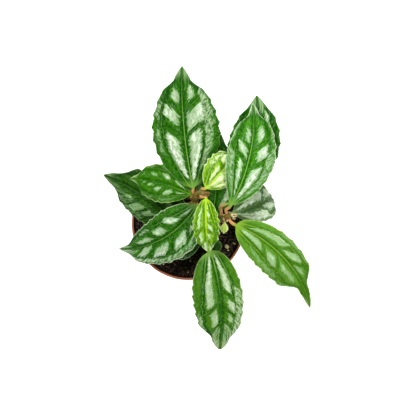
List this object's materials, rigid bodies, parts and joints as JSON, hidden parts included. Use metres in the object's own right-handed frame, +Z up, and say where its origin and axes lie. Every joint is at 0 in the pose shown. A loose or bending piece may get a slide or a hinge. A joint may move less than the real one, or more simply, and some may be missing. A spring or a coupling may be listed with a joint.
{
  "type": "potted aluminum plant",
  "caption": "Young aluminum plant with quilted, toothed, pointed leaves in pairs on fleshy stems, standing in soil in a small round tapered pot with a banded rim and drain holes.",
  "frame": {"origin": "centre of the pot's underside, on the surface that it stands on", "axes": "+Z up along the pot's axis; the picture looks straight down, with +X to its right and +Y to its top"},
  "size_m": [0.1609, 0.2153, 0.1493],
  "materials": {
    "pot": "satin",
    "soil": "matte",
    "stem": "satin",
    "bud": "matte",
    "leaf": "gloss",
    "young_leaf": "gloss"
  },
  "bodies": {
    "root": {"pot": "pot", "soil": "soil", "left_stem": "stem", "right_stem": "stem", "front_stem": "stem", "left_bud": "bud", "right_bud": "bud", "front_bud": "bud", "leaf_top": "leaf", "leaf_left": "leaf", "leaf_far_left": "leaf", "leaf_low_left": "leaf", "leaf_centre": "young_leaf", "leaf_back": "young_leaf", "leaf_right": "leaf", "leaf_behind": "leaf", "leaf_grey": "leaf", "leaf_low_right": "leaf", "leaf_bottom": "leaf", "leaf_under": "leaf", "leaf_dark_low": "leaf", "leaf_small": "leaf", "leaf_tiny": "young_leaf"}
  },
  "joints": []
}
